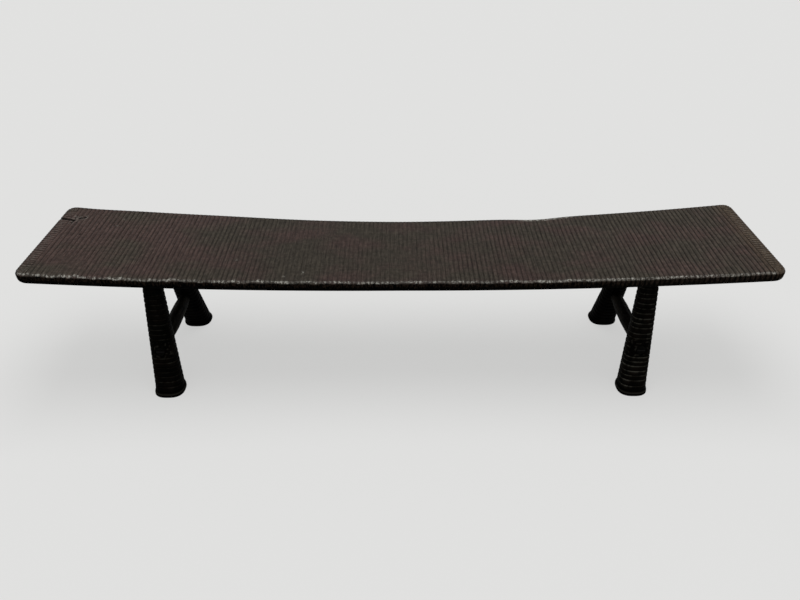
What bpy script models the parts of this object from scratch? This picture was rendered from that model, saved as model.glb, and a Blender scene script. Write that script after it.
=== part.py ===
"""Carved bench: one dished, waisted and ribbed plank on four splayed legs, tied in pairs by two stretchers.

Metres, +Z up. The origin is on the floor under the middle of the bench. +X runs along the seat and the
front is at -Y. Each leg has a round tenon in a blind socket under the seat, and each stretcher has a round
tenon through the leg at either end. Every tenon is split and spread by a wedge.
"""

import math
from collections import namedtuple

import bmesh
import bpy
from mathutils import Vector

# Seat plank
SEAT_LENGTH = 2.195
SEAT_END_WIDTH = 0.400
SEAT_WAIST_WIDTH = 0.351
SEAT_THICKNESS = 0.036
SEAT_END_HEIGHT = 0.4835
SEAT_MIDDLE_HEIGHT = 0.4325
SEAT_CORNER_RADIUS = 0.028
SEAT_TOP_ROUND = 0.011
SEAT_BOTTOM_ROUND = 0.013
SAG_POWER = 1.9
WAIST_POWER = 1.36

# Ribs across the seat, between two plain bands at its ends
END_BAND_WIDTH = 0.036
RIB_PITCH = 0.0139
RIB_DEPTH = 0.0026

# Legs: distance from the seat's ends, and spread of their centre lines on the floor and under the seat
LEG_SETBACK = 0.3335
FOOT_SPREAD = 0.359
LEG_TOP_SPREAD = 0.148
FOOT_WIDTH = 0.092
FOOT_DEPTH = 0.076
LEG_TOP_WIDTH = 0.053
LEG_TOP_DEPTH = 0.046
LEG_SQUARENESS = 2.6
FOOT_RIM = 0.003
FOOT_RIM_HEIGHT = 0.011
FOOT_ROUND = 0.003
LEG_TENON_SHOULDER = 0.008
SOCKET_ROOF = 0.010

# Stretchers, which swell in the middle
STRETCHER_HEIGHT = 0.160
STRETCHER_DIAMETER = 0.048
STRETCHER_END_DIAMETER = 0.035
STRETCHER_TENON_SHOULDER = 0.003
STRETCHER_HOUSING = 0.003

# Wedges
WEDGE_BACK = 0.005
WEDGE_TIP = 0.0015
WEDGE_SIDE_RELIEF = 0.0015
LEG_WEDGE_LENGTH = 0.016
STRETCHER_WEDGE_LENGTH = 0.045

# Fits
FIT_GAP = 0.0003
CUT_OVERRUN = 0.010

# Smoothness of the round shapes
ROUND_SIDES = 24
CORNER_STEPS = 6
EDGE_STEPS = 2
LEG_ROWS = 3
SWELL_STEPS = 4
WEDGE_STATIONS = 5
SHARP_ANGLE = math.radians(35)

SIDES = {"left": -1, "right": 1}
ROWS = {"front": -1, "rear": 1}
ACROSS = Vector((1, 0, 0))
UP = Vector((0, 0, 1))

LEG_X = SEAT_LENGTH / 2 - LEG_SETBACK
FOOT_Y = FOOT_SPREAD / 2
LEG_TENON_RADIUS = LEG_TOP_DEPTH / 2 - LEG_TENON_SHOULDER
STRETCHER_RADIUS = STRETCHER_DIAMETER / 2
STRETCHER_END_RADIUS = STRETCHER_END_DIAMETER / 2
STRETCHER_TENON_RADIUS = STRETCHER_END_RADIUS - STRETCHER_TENON_SHOULDER


# Shape of the seat

Station = namedtuple("Station", "x y out_x out_y reach groove")


def seat_top(x):
    """Height of the seat's upper face, which sags towards the middle."""
    share = abs(x) / (SEAT_LENGTH / 2)
    return SEAT_MIDDLE_HEIGHT + (SEAT_END_HEIGHT - SEAT_MIDDLE_HEIGHT) * share**SAG_POWER


def seat_slope(x):
    """Rise of the seat per metre towards +X."""
    share = abs(x) / (SEAT_LENGTH / 2)
    rise = (SEAT_END_HEIGHT - SEAT_MIDDLE_HEIGHT) / (SEAT_LENGTH / 2)
    return math.copysign(rise * SAG_POWER * share ** (SAG_POWER - 1), x)


def seat_half_width(x):
    """Half of the seat's width, which narrows to a waist in the middle."""
    share = abs(x) / (SEAT_LENGTH / 2)
    return (SEAT_WAIST_WIDTH + (SEAT_END_WIDTH - SEAT_WAIST_WIDTH) * share**WAIST_POWER) / 2


def seat_stations():
    """Anchors along the rear half of the seat's outline, with their way out and the ribs' grooves."""
    straight_end = SEAT_LENGTH / 2 - SEAT_CORNER_RADIUS
    corner_y = seat_half_width(straight_end) - SEAT_CORNER_RADIUS
    rib_end = SEAT_LENGTH / 2 - END_BAND_WIDTH
    ribs = round(2 * rib_end / RIB_PITCH)
    stations = []
    for step in range(2 * ribs + 1):
        x = rib_end * (step / ribs - 1)
        groove = 0.0 if step % 2 else RIB_DEPTH
        stations.append(Station(x, 0.0, 0.0, 1.0, seat_half_width(x), groove))
    for step in range(CORNER_STEPS + 1):
        turn = math.pi / 2 * step / CORNER_STEPS
        out_x, out_y = math.sin(turn), math.cos(turn)
        stations.append(Station(straight_end, corner_y, out_x, out_y, SEAT_CORNER_RADIUS, 0.0))
        stations.insert(0, Station(-straight_end, corner_y, -out_x, out_y, SEAT_CORNER_RADIUS, 0.0))
    return stations


def seat_edge_profile():
    """Inset and depth of rows round the edge to the underside, with a groove's share inwards and down."""
    profile = []
    for step in range(EDGE_STEPS + 1):
        turn = math.pi / 2 * step / EDGE_STEPS
        sine, cosine = math.sin(turn), math.cos(turn)
        inset, depth = SEAT_TOP_ROUND * (1 - sine), SEAT_TOP_ROUND * (1 - cosine)
        profile.append((inset, depth, sine * cosine, cosine**2))
    for step in range(EDGE_STEPS + 1):
        turn = math.pi / 2 * step / EDGE_STEPS
        depth = SEAT_THICKNESS - SEAT_BOTTOM_ROUND * (1 - math.sin(turn))
        profile.append((SEAT_BOTTOM_ROUND * (1 - math.cos(turn)), depth, 0.0, 0.0))
    return profile


# Shape of the legs, from the middle of the foot

LEG_TOP_Z = seat_top(LEG_X) - SEAT_THICKNESS - FIT_GAP


def leg_frame(row):
    """Unit vectors along a leg and square to it towards the rear, and the leg's length to its shoulder."""
    line = Vector((0, row * (LEG_TOP_SPREAD - FOOT_SPREAD) / 2, LEG_TOP_Z))
    along = line.normalized()
    deep = Vector((0, along.z, -along.y))
    return along, deep, line.length


def leg_tapers():
    """Change of the leg's half width and half depth per metre of its length."""
    length = leg_frame(1)[2]
    return (LEG_TOP_WIDTH - FOOT_WIDTH) / 2 / length, (LEG_TOP_DEPTH - FOOT_DEPTH) / 2 / length


def round_squared(turn, squareness):
    """A direction on a unit circle, or on a rounder square where squareness is above 2."""
    def bulge(value):
        return math.copysign(abs(value) ** (2 / squareness), value)

    return bulge(math.cos(turn)), bulge(math.sin(turn))


def column_ring(row, point, normal, halves, tapers, squareness):
    """Outline where a plane cuts a column on the leg's centre line, given its half sizes at the floor."""
    along, deep, _ = leg_frame(row)
    ring = []
    for step in range(ROUND_SIDES):
        x, y = round_squared(2 * math.pi * step / ROUND_SIDES, squareness)
        start = ACROSS * x * halves[0] + deep * y * halves[1]
        line = along + ACROSS * x * tapers[0] + deep * y * tapers[1]
        distance = normal.dot(point - start) / normal.dot(line)
        ring.append(start + line * distance)
    return ring


def leg_ring(row, point, normal, grow=0.0):
    halves = FOOT_WIDTH / 2 + grow, FOOT_DEPTH / 2 + grow
    return column_ring(row, point, normal, halves, leg_tapers(), LEG_SQUARENESS)


def tenon_ring(row, point, normal, grow=0.0):
    radius = LEG_TENON_RADIUS + grow
    return column_ring(row, point, normal, (radius, radius), (0.0, 0.0), 2)


def socket_end():
    """Distance from the floor, along the leg, of the blind end of its socket."""
    along, _, _ = leg_frame(1)
    tilt = LEG_TENON_RADIUS * (abs(along.y) + abs(seat_slope(LEG_X)))
    return (seat_top(LEG_X) - SOCKET_ROOF - tilt) / along.z


def leg_face(x, z, face):
    """Distance from the bench's middle to a rear leg's outer face, or its inner face where face is -1."""
    along, deep, _ = leg_frame(1)
    width_taper, depth_taper = leg_tapers()
    distance = z / along.z
    for _ in range(8):
        share = abs(x) / (FOOT_WIDTH / 2 + width_taper * distance)
        half_depth = FOOT_DEPTH / 2 + depth_taper * distance
        reach = half_depth * (1 - share**LEG_SQUARENESS) ** (1 / LEG_SQUARENESS)
        distance = (z - face * reach * deep.z) / along.z
    return FOOT_Y + along.y * distance + face * reach * deep.y


# Making objects

def linear(*levels):
    """A colour given as 0 to 255 on screen, in the linear values that a shader takes."""
    return [((level / 255 + 0.055) / 1.055) ** 2.4 if level > 10 else level / 255 / 12.92 for level in levels]


def make_wood(name, levels, roughness):
    wood = bpy.data.materials.new(name)
    wood.use_nodes = True
    shader = wood.node_tree.nodes["Principled BSDF"]
    shader.inputs["Base Color"].default_value = (*linear(*levels), 1)
    shader.inputs["Roughness"].default_value = roughness
    shader.inputs["Metallic"].default_value = 0.0
    return wood


def make_object(name, solid, wood=None, location=(0, 0, 0), rotation=(0, 0, 0)):
    """An object from a bmesh. Without a wood it is a cutter."""
    bmesh.ops.recalc_face_normals(solid, faces=solid.faces)
    mesh = bpy.data.meshes.new(name)
    solid.to_mesh(mesh)
    solid.free()
    made = bpy.data.objects.new(name, mesh)
    bpy.context.scene.collection.objects.link(made)
    made.location = location
    made.rotation_euler = rotation
    made.parent = bench
    if wood:
        mesh.materials.append(wood)
        mesh.shade_smooth()
        mesh.set_sharp_from_angle(angle=SHARP_ANGLE)
    else:
        made.hide_render = True
        made.display_type = "WIRE"
    return made


def cut(target, cutter):
    boolean = target.modifiers.new(cutter.name, "BOOLEAN")
    boolean.object = cutter
    boolean.operation = "DIFFERENCE"
    boolean.solver = "EXACT"


def skin(rings, first_centre=None, last_centre=None):
    """A closed solid through rings of equal count, with flat ends or ends raised to a centre point."""
    solid = bmesh.new()
    loops = [[solid.verts.new(point) for point in ring] for ring in rings]
    for lower, upper in zip(loops, loops[1:]):
        for index in range(len(lower)):
            after = (index + 1) % len(lower)
            solid.faces.new((lower[index], lower[after], upper[after], upper[index]))
    for loop, centre in ((loops[0], first_centre), (loops[-1], last_centre)):
        if centre is None:
            solid.faces.new(loop)
            continue
        middle = solid.verts.new(centre)
        for index in range(len(loop)):
            solid.faces.new((loop[index], loop[(index + 1) % len(loop)], middle))
    return solid


# Seat

def make_seat():
    stations = seat_stations()
    solid = bmesh.new()
    loops = []
    for inset, depth, inwards, down in seat_edge_profile():
        front, rear = [], []
        for place in stations:
            reach = place.reach - inset - inwards * place.groove
            x = place.x + place.out_x * reach
            y = place.y + place.out_y * reach
            z = seat_top(x) - depth - down * place.groove
            front.append(solid.verts.new((x, -y, z)))
            rear.append(solid.verts.new((x, y, z)))
        loops.append(front + rear[::-1])
    for upper, lower in zip(loops, loops[1:]):
        for index in range(len(upper)):
            after = (index + 1) % len(upper)
            solid.faces.new((upper[index], upper[after], lower[after], lower[index]))
    for loop in (loops[0], loops[-1]):
        for index in range(len(loop) // 2 - 1):
            solid.faces.new((loop[index], loop[index + 1], loop[-2 - index], loop[-1 - index]))
    return make_object("seat_plank", solid, seat_wood)


# Legs

def make_leg(name, side, row):
    along, _, length = leg_frame(row)
    underside = Vector((-seat_slope(side * LEG_X), 0, 1)).normalized()
    shoulder = along * length
    rings = []
    for step in range(EDGE_STEPS + 1):
        turn = math.pi / 2 * step / EDGE_STEPS
        floor_gap = UP * FOOT_ROUND * (1 - math.cos(turn))
        rings.append(leg_ring(row, floor_gap, UP, FOOT_RIM - FOOT_ROUND * (1 - math.sin(turn))))
    rings.append(leg_ring(row, UP * FOOT_RIM_HEIGHT, UP, FOOT_RIM))
    rings.append(leg_ring(row, UP * (FOOT_RIM_HEIGHT + FOOT_RIM), UP))
    for step in range(1, LEG_ROWS):
        rings.append(leg_ring(row, shoulder * step / LEG_ROWS, along))
    rings.append(leg_ring(row, shoulder, underside))
    rings.append(tenon_ring(row, shoulder, underside))
    rings.append(tenon_ring(row, along * (socket_end() - FIT_GAP), along))
    return make_object(name, skin(rings), leg_wood, (side * LEG_X, row * FOOT_Y, 0))


def make_socket(name, side, row):
    """Cutter for the blind socket under the seat."""
    along, _, length = leg_frame(row)
    start = along * (length - LEG_TENON_RADIUS)
    rings = [tenon_ring(row, point, along, FIT_GAP) for point in (start, along * socket_end())]
    return make_object(name, skin(rings), location=(side * LEG_X, row * FOOT_Y, 0))


# Wedges

def wedge_half(depth, length):
    """Half of a wedge's thickness, at a depth below its thick end."""
    return (WEDGE_BACK + (WEDGE_TIP - WEDGE_BACK) * depth / length) / 2


def leg_wedge_solid(half_width, top, grow):
    """A wedge along -Z that spreads the tenon along X, the way of the seat's grain."""
    rings = []
    for z in (-LEG_WEDGE_LENGTH - grow, top):
        half = wedge_half(-z, LEG_WEDGE_LENGTH) + grow
        corners = ((-half, -half_width), (half, -half_width), (half, half_width), (-half, half_width))
        rings.append([(x, y, z) for x, y in corners])
    return skin(rings)


def make_leg_wedge(corner, side, row, leg):
    """The wedge inside a blind socket, and the split in the leg's tenon that takes it."""
    along, _, _ = leg_frame(row)
    back = Vector((side * LEG_X, row * FOOT_Y, 0)) + along * (socket_end() - FIT_GAP)
    tilt = (math.atan2(-along.y, along.z), 0, 0)
    half_width = LEG_TENON_RADIUS - WEDGE_SIDE_RELIEF
    make_object("leg_wedge_" + corner, leg_wedge_solid(half_width, 0, 0), wedge_wood, back, tilt)
    split = leg_wedge_solid(LEG_TENON_RADIUS + CUT_OVERRUN, CUT_OVERRUN, FIT_GAP)
    cut(leg, make_object("leg_split_" + corner, split, location=back, rotation=tilt))


def stretcher_wedge_solid(row, half_width, grow, overrun):
    """A wedge along the stretcher that spreads the tenon up and down, the way of the leg's grain."""
    end = leg_face(0, STRETCHER_HEIGHT, 1)
    depth = STRETCHER_WEDGE_LENGTH + grow
    tip = wedge_half(depth, STRETCHER_WEDGE_LENGTH) + grow
    rings = []
    for step in range(WEDGE_STATIONS):
        x = half_width * (2 * step / (WEDGE_STATIONS - 1) - 1)
        face_x = min(abs(x), STRETCHER_TENON_RADIUS)
        rise = leg_face(face_x, STRETCHER_HEIGHT, 1) + overrun - end
        back = wedge_half(-rise, STRETCHER_WEDGE_LENGTH) + grow
        outline = [
            (x, row * (leg_face(face_x, STRETCHER_HEIGHT + z, 1) + overrun), z) for z in (-back, back)
        ]
        outline += [(x, row * (end - depth), z) for z in (tip, -tip)]
        rings.append(outline)
    return skin(rings)


def make_stretcher_wedge(corner, side, row, stretcher):
    """The wedge that shows on the leg's outer face, and the split in the stretcher's tenon that takes it."""
    place = (side * LEG_X, 0, STRETCHER_HEIGHT)
    half_width = STRETCHER_TENON_RADIUS - WEDGE_SIDE_RELIEF
    make_object("stretcher_wedge_" + corner, stretcher_wedge_solid(row, half_width, 0, 0), wedge_wood, place)
    split = stretcher_wedge_solid(row, STRETCHER_END_RADIUS, FIT_GAP, CUT_OVERRUN)
    cut(stretcher, make_object("stretcher_split_" + corner, split, location=place))


# Stretchers

def stretcher_ring(radius, distance):
    """A ring round the stretcher's centre line, at a distance that may vary round it."""
    ring = []
    for step in range(ROUND_SIDES):
        turn = 2 * math.pi * step / ROUND_SIDES
        x, z = radius * math.cos(turn), radius * math.sin(turn)
        ring.append((x, distance(x, z), z))
    return ring


def stretcher_solid(grow, overrun):
    """A swelling bar with a shoulder let into each leg and a tenon that ends on the leg's outer face."""
    shoulder = leg_face(0, STRETCHER_HEIGHT - STRETCHER_END_RADIUS, -1) + STRETCHER_HOUSING + grow
    tenon = STRETCHER_TENON_RADIUS + grow
    middle = leg_face(0, STRETCHER_HEIGHT, 1) + overrun

    def end_rings(row):
        face = stretcher_ring(tenon, lambda x, z: row * (leg_face(x, STRETCHER_HEIGHT + z, 1) + overrun))
        return [face, stretcher_ring(tenon, lambda x, z: row * shoulder)]

    rings = end_rings(-1)
    for step in range(-SWELL_STEPS, SWELL_STEPS + 1):
        share = step / SWELL_STEPS
        radius = STRETCHER_RADIUS - (STRETCHER_RADIUS - STRETCHER_END_RADIUS) * share**2 + grow
        rings.append(stretcher_ring(radius, lambda x, z: share * shoulder))
    rings += end_rings(1)[::-1]
    return skin(rings, (0, -middle, 0), (0, middle, 0))


def make_stretcher(name, side):
    place = (side * LEG_X, 0, STRETCHER_HEIGHT)
    stretcher = make_object(name, stretcher_solid(0, 0), stretcher_wood, place)
    mortise = make_object("mortise_" + name, stretcher_solid(FIT_GAP, CUT_OVERRUN), location=place)
    return stretcher, mortise


# Assembly

for leftover in list(bpy.data.objects):
    bpy.data.objects.remove(leftover)

bench = bpy.data.objects.new("bench", None)
bpy.context.scene.collection.objects.link(bench)
seat_wood = make_wood("seat_teak", (63, 56, 52), 0.45)
leg_wood = make_wood("leg_teak", (22, 19, 17), 0.50)
stretcher_wood = make_wood("stretcher_teak", (28, 24, 21), 0.60)
wedge_wood = make_wood("wedge_teak", (38, 31, 26), 0.60)

seat = make_seat()
for side_name, side in SIDES.items():
    stretcher, mortise = make_stretcher("stretcher_" + side_name, side)
    for row_name, row in ROWS.items():
        corner = row_name + "_" + side_name
        leg = make_leg("leg_" + corner, side, row)
        cut(leg, mortise)
        cut(seat, make_socket("socket_" + corner, side, row))
        make_leg_wedge(corner, side, row, leg)
        make_stretcher_wedge(corner, side, row, stretcher)
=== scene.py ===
"""Looks of the carved bench: ribbed seat, ringed legs and hewn stretchers of dark waxed teak."""

import math

import bmesh
import bpy
import numpy as np
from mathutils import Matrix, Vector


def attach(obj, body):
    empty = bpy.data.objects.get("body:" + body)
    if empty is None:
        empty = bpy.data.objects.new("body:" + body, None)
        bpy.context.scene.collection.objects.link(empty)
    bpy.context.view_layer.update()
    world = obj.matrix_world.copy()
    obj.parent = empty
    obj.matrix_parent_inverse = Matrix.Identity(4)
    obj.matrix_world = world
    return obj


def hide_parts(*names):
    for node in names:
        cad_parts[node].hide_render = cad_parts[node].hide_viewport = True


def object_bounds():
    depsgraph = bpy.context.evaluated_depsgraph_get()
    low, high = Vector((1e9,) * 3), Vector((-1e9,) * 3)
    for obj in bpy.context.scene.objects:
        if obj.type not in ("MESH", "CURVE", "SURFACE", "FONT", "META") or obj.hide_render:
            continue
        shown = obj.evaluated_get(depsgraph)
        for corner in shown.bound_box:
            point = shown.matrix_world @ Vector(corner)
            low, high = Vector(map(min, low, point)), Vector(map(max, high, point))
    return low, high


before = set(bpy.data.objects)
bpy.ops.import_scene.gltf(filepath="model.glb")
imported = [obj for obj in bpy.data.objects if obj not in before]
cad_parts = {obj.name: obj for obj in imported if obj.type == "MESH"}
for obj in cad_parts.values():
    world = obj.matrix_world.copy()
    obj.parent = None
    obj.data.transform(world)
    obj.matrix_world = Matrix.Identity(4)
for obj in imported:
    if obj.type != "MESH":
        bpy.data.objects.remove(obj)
cad_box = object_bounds()

# Seat, in metres as everything here
SEAT_LENGTH = cad_box[1][0] - cad_box[0][0]
SEAT_END_WIDTH = 0.400
SEAT_WAIST_WIDTH = 0.351
SEAT_THICKNESS = 0.036
SEAT_END_HEIGHT = 0.4835
SEAT_MIDDLE_HEIGHT = 0.4325
SEAT_TOP_ROUND = 0.011
SEAT_BOTTOM_ROUND = 0.013
END_BAND_WIDTH = 0.036
BAND_X = SEAT_LENGTH / 2 - END_BAND_WIDTH
CORNER_SQUARENESS = 2.6
SAG_POWER = 1.9
WAIST_POWER = 1.36

# Waves of the hand cut rear edge: place along the seat, half length and height
REAR_WAVES = ((-0.58, 0.20, 0.005), (0.45, 0.085, -0.011), (-1.03, 0.12, -0.007))

# Legs and stretchers
LEG_SETBACK = 0.3335
LEG_X = SEAT_LENGTH / 2 - LEG_SETBACK
FOOT_Y = 0.1795
LEG_TOP_Y = 0.074
FOOT_WIDTH = 0.092
FOOT_DEPTH = 0.076
LEG_TOP_WIDTH = 0.053
LEG_TOP_DEPTH = 0.046
LEG_SQUARENESS = 2.6
FOOT_RIM = 0.003
FOOT_RIM_HEIGHT = 0.011
FOOT_RIM_BEVEL = 0.8
FOOT_ROUND = 0.003
LEG_TENON_RADIUS = 0.015
SOCKET_ROOF = 0.010
STRETCHER_HEIGHT = 0.160
STRETCHER_RADIUS = 0.024
STRETCHER_END_RADIUS = 0.0175
STRETCHER_TENON_RADIUS = 0.0145
STRETCHER_HOUSING = 0.003
TENON_RECESS = 0.0008
FIT_GAP = 0.0003

# Fineness of the meshes
FIELD_ROWS = 60
BAND_STEPS = 7
BAND_ROWS = 150
CORNER_STEPS = 24
ARRIS_STEPS = 6
FACE_STEPS = 3
ROUND_STEPS = 4
LEG_SIDES = 72
STRETCHER_SIDES = 56
STRETCHER_ROWS = 90
SHARP_ANGLE = 50
HEWN_SHARP_ANGLE = 40

SIDES = {"left": -1, "right": 1}
ROWS = {"front": -1, "rear": 1}
UP = np.array([0.0, 0.0, 1.0])
ACROSS = np.array([1.0, 0.0, 0.0])


# Noise

def soft(share):
    """Smooth step over a share from 0 to 1."""
    return share * share * (3 - 2 * share)


def noise(seed, x, y=0.0):
    """Smooth noise from -1 to 1, with places given in cells of its lattice."""
    size = 256
    table = np.random.default_rng(seed).uniform(-1, 1, (size, size))
    x, y = np.broadcast_arrays(np.asarray(x, float), np.asarray(y, float))
    left, low = np.floor(x).astype(int), np.floor(y).astype(int)
    across, up = soft(x - left), soft(y - low)

    def row(step):
        first = table[left % size, (low + step) % size]
        second = table[(left + 1) % size, (low + step) % size]
        return first * (1 - across) + second * across

    return row(0) * (1 - up) + row(1) * up


def line_noise(kind, x):
    """Noise along a line, of a kind given by its seed and the length of its cells."""
    seed, length = kind
    return noise(seed, x / length)


def plan_noise(kind, x, y):
    """Noise over a plane, of a kind given by its seed and the lengths of its cells both ways."""
    seed, length_x, length_y = kind
    return noise(seed, x / length_x, y / length_y)


def cell_noise(kind, step, place, base=0):
    """Noise of a kind given by its seed past the base, its cells to a rib or radian, and their length."""
    seed, cells, length = kind
    return noise(base + seed, step * cells, place / length)


def ease(low, high, value):
    """Smooth step from 0 at low to 1 at high."""
    return soft(np.clip((np.asarray(value, float) - low) / (high - low), 0, 1))


def hump(away):
    """Smooth hump, 1 at 0 and near 0 past 2."""
    return np.exp(-np.square(away))


def blend(first, last, share):
    """Value at a share of the way from first to last."""
    return first + (last - first) * share


# Meshes

class Surface:
    """Points with their carving values, and faces with their material numbers, collected for one mesh."""

    # The first value sets the painted shade of valleys, the second the black of stain and painted shade, the
    # third pale wear and painted highlights
    LAYERS = ("crest", "dark", "wear_and_glint")

    def __init__(self):
        self.points, self.values = [], []
        self.faces, self.numbers = [], []
        self.count = 0

    def add(self, points, crest=1.0, dark=0.0, wear_and_glint=0.0):
        points = np.asarray(points, float)
        self.points.append(points)
        self.values.append([np.broadcast_to(value, len(points)) for value in (crest, dark, wear_and_glint)])
        self.count += len(points)
        return np.arange(self.count - len(points), self.count)

    def face(self, faces, number=0):
        self.faces += faces
        self.numbers += [number] * len(faces)

    def grid(self, index, number=0):
        """Quads between neighbours in a table of point numbers, with triangles where points repeat."""
        a, b, c, d = index[:-1, :-1], index[1:, :-1], index[1:, 1:], index[:-1, 1:]
        quads = np.stack([a, b, c, d], -1).reshape(-1, 4).tolist()
        self.face([list(dict.fromkeys(quad)) for quad in quads], number)

    def tube(self, rings, number=0):
        """Quads round a stack of closed rings."""
        index = np.array(rings)
        self.grid(np.concatenate([index, index[:, :1]], 1), number)

    def fan(self, ring, centre, crest):
        """Triangles from a ring to its centre."""
        middle = int(self.add([centre], crest)[0])
        self.face([[int(a), int(b), middle] for a, b in zip(ring, np.roll(ring, -1))])

    def make(self, name, materials, sharp=SHARP_ANGLE):
        mesh = bpy.data.meshes.new(name)
        mesh.from_pydata(np.concatenate(self.points).tolist(), [], self.faces)
        mesh.polygons.foreach_set("material_index", self.numbers)
        for label, values in zip(self.LAYERS, zip(*self.values)):
            layer = mesh.attributes.new(label, "FLOAT", "POINT")
            layer.data.foreach_set("value", np.concatenate(values).astype(np.float32))
        for material in materials:
            mesh.materials.append(material)
        solid = bmesh.new()
        solid.from_mesh(mesh)
        bmesh.ops.recalc_face_normals(solid, faces=solid.faces)
        solid.to_mesh(mesh)
        solid.free()
        piece = add_object(name, mesh)
        smooth(piece, sharp)
        return piece


def add_object(name, data):
    made = bpy.data.objects.new(name, data)
    bpy.context.scene.collection.objects.link(made)
    return made


def smooth(piece, sharp=SHARP_ANGLE):
    piece.data.shade_smooth()
    piece.data.set_sharp_from_angle(angle=math.radians(sharp))


def cut(piece, cutter):
    """Takes the cutter's volume out of a piece."""
    boolean = piece.modifiers.new("cut", "BOOLEAN")
    boolean.object = cutter
    boolean.operation = "DIFFERENCE"
    boolean.solver = "EXACT"
    shape = piece.evaluated_get(bpy.context.evaluated_depsgraph_get())
    mesh = bpy.data.meshes.new_from_object(shape)
    piece.modifiers.clear()
    old, piece.data = piece.data, mesh
    bpy.data.meshes.remove(old)
    mesh.name = piece.name
    bpy.data.objects.remove(cutter)
    smooth(piece)


def grown(node):
    """A cutter of a CAD node's shape. Where three square faces meet, each grows by a fitting gap."""
    solid = bmesh.new()
    solid.from_mesh(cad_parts[node].data)
    bmesh.ops.remove_doubles(solid, verts=solid.verts, dist=FIT_GAP / 10)
    bmesh.ops.recalc_face_normals(solid, faces=solid.faces)
    solid.normal_update()
    for corner in solid.verts:
        corner.co += corner.normal * FIT_GAP * math.sqrt(3)
    mesh = bpy.data.meshes.new("grown_" + node)
    solid.to_mesh(mesh)
    solid.free()
    return add_object(mesh.name, mesh)


# Shape of the seat

def end_share(x):
    """Share of the way from the seat's middle to its end."""
    return np.abs(x) / (SEAT_LENGTH / 2)


def seat_top(x):
    return blend(SEAT_MIDDLE_HEIGHT, SEAT_END_HEIGHT, end_share(x) ** SAG_POWER)


def seat_slope(x):
    rise = (SEAT_END_HEIGHT - SEAT_MIDDLE_HEIGHT) / (SEAT_LENGTH / 2)
    return np.copysign(rise * SAG_POWER * end_share(x) ** (SAG_POWER - 1), x)


def seat_half_width(x, row=-1):
    """Distance from the middle to the seat's front edge, or to its wavy rear edge where row is 1."""
    half = blend(SEAT_WAIST_WIDTH, SEAT_END_WIDTH, end_share(x) ** WAIST_POWER) / 2
    if row > 0:
        half = half + sum(height * hump((x - place) / reach) for place, reach, height in REAR_WAVES)
    return half


# Marks of age on the seat

# Cracks: start, end, width and depth, by distances from the left end and from the middle of the seat
CRACKS = (
    ((0.0, 0.1130), (0.051, 0.1050), 0.0034, 0.0045),
    ((0.063, 0.1195), (0.0785, 0.1265), 0.0032, 0.0045),
    ((0.016, 0.1255), (0.038, 0.1225), 0.0022, 0.0008),
    ((0.046, 0.0895), (0.052, 0.1020), 0.0024, 0.0012),
    ((0.061, 0.0920), (0.064, 0.0980), 0.0024, 0.0010),
    ((0.192, 0.1184), (0.2165, 0.0675), 0.0020, 0.0006),
)
# Pits and the knot, placed the same way
PITS = ((0.100, 0.027), (0.1809, 0.0915), (0.1975, 0.0934), (0.598, -0.074))
PIT_RADIUS = 0.0032
PIT_DEPTH = 0.0016
KNOT = (0.062, 0.106)
KNOT_RADIUS = 0.013
KNOT_RELIEF = 0.25 * PIT_DEPTH
KNOT_WAVES = 3
# Chips: place and paleness
CHIPS = (
    ((0.045, 0.1280), 0.30),
    ((0.057, 0.1180), 0.35),
    ((0.067, 0.0980), 0.30),
    ((0.054, 0.0845), 0.25),
    ((0.1905, 0.0896), 0.55),
    ((0.199, 0.1290), 0.25),
    ((0.601, -0.069), 0.35),
    ((0.753, -0.149), 0.35),
    ((0.806, -0.129), 0.90),
)
CHIP_RADIUS = 0.0035
# Painted highlights on the flanks of the deep cracks, in widths of the crack, and the depths in pits at which
# marks turn dark with painted shade
FLANK = 0.25
FLANK_PLACE = 2.4
FLANK_WIDTH = 0.6
MARK_DARK = (0.2, 0.6)


def marks(x, y):
    """Depth of the marks of age at places on the seat's upper face, their painted shade, and how pale they
    are with chips and painted highlights.
    """
    x = x + SEAT_LENGTH / 2
    depth, pale = np.zeros_like(x), np.zeros_like(x)
    for start, end, width, deepest in CRACKS:
        step = np.subtract(end, start)
        share = np.clip(((x - start[0]) * step[0] + (y - start[1]) * step[1]) / (step @ step), 0, 1)
        away = np.hypot(x - start[0] - share * step[0], y - start[1] - share * step[1]) / width
        depth = np.maximum(depth, deepest * hump(away))
        flank = FLANK * ease(PIT_DEPTH / 2, PIT_DEPTH, deepest)
        pale = np.maximum(pale, flank * hump((away - FLANK_PLACE) / FLANK_WIDTH))
    for place in PITS:
        away = np.hypot(x - place[0], y - place[1])
        depth = np.maximum(depth, PIT_DEPTH * hump(away / PIT_RADIUS))
    away = np.hypot(x - KNOT[0], y - KNOT[1]) / KNOT_RADIUS
    swirl = KNOT_RELIEF * np.cos(KNOT_WAVES * math.pi * away) * hump(away)
    for place, paleness in CHIPS:
        pale = np.maximum(pale, paleness * hump(np.hypot(x - place[0], y - place[1]) / CHIP_RADIUS))
    return depth + swirl, ease(*MARK_DARK, depth / PIT_DEPTH), pale


# Wear of the seat's ribs, as shares of their depth

WORN_PATCH = (0.118, -0.125)
WORN_PATCH_SIZE = (0.080, 0.085)
WORN_PATCH_SHARE = 0.88
WORN_MIDDLE = -0.17
WORN_MIDDLE_HALF = 0.40
WORN_MIDDLE_SHARE = 0.78
WORN_SHARE = 0.42
SOUND_RIBS = (0.45, 0.95)
WORN_UNEVENNESS = 0.18
WORN_NOISE = (17, 0.11, 0.08)
WORN_MOST = 0.9
WORN_LEVEL = 0.54
WORN_DEPTH = 0.5


def middle_share(x):
    """How near a place is to the worn middle of the seat."""
    return hump(np.square((x - WORN_MIDDLE) / WORN_MIDDLE_HALF))


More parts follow.
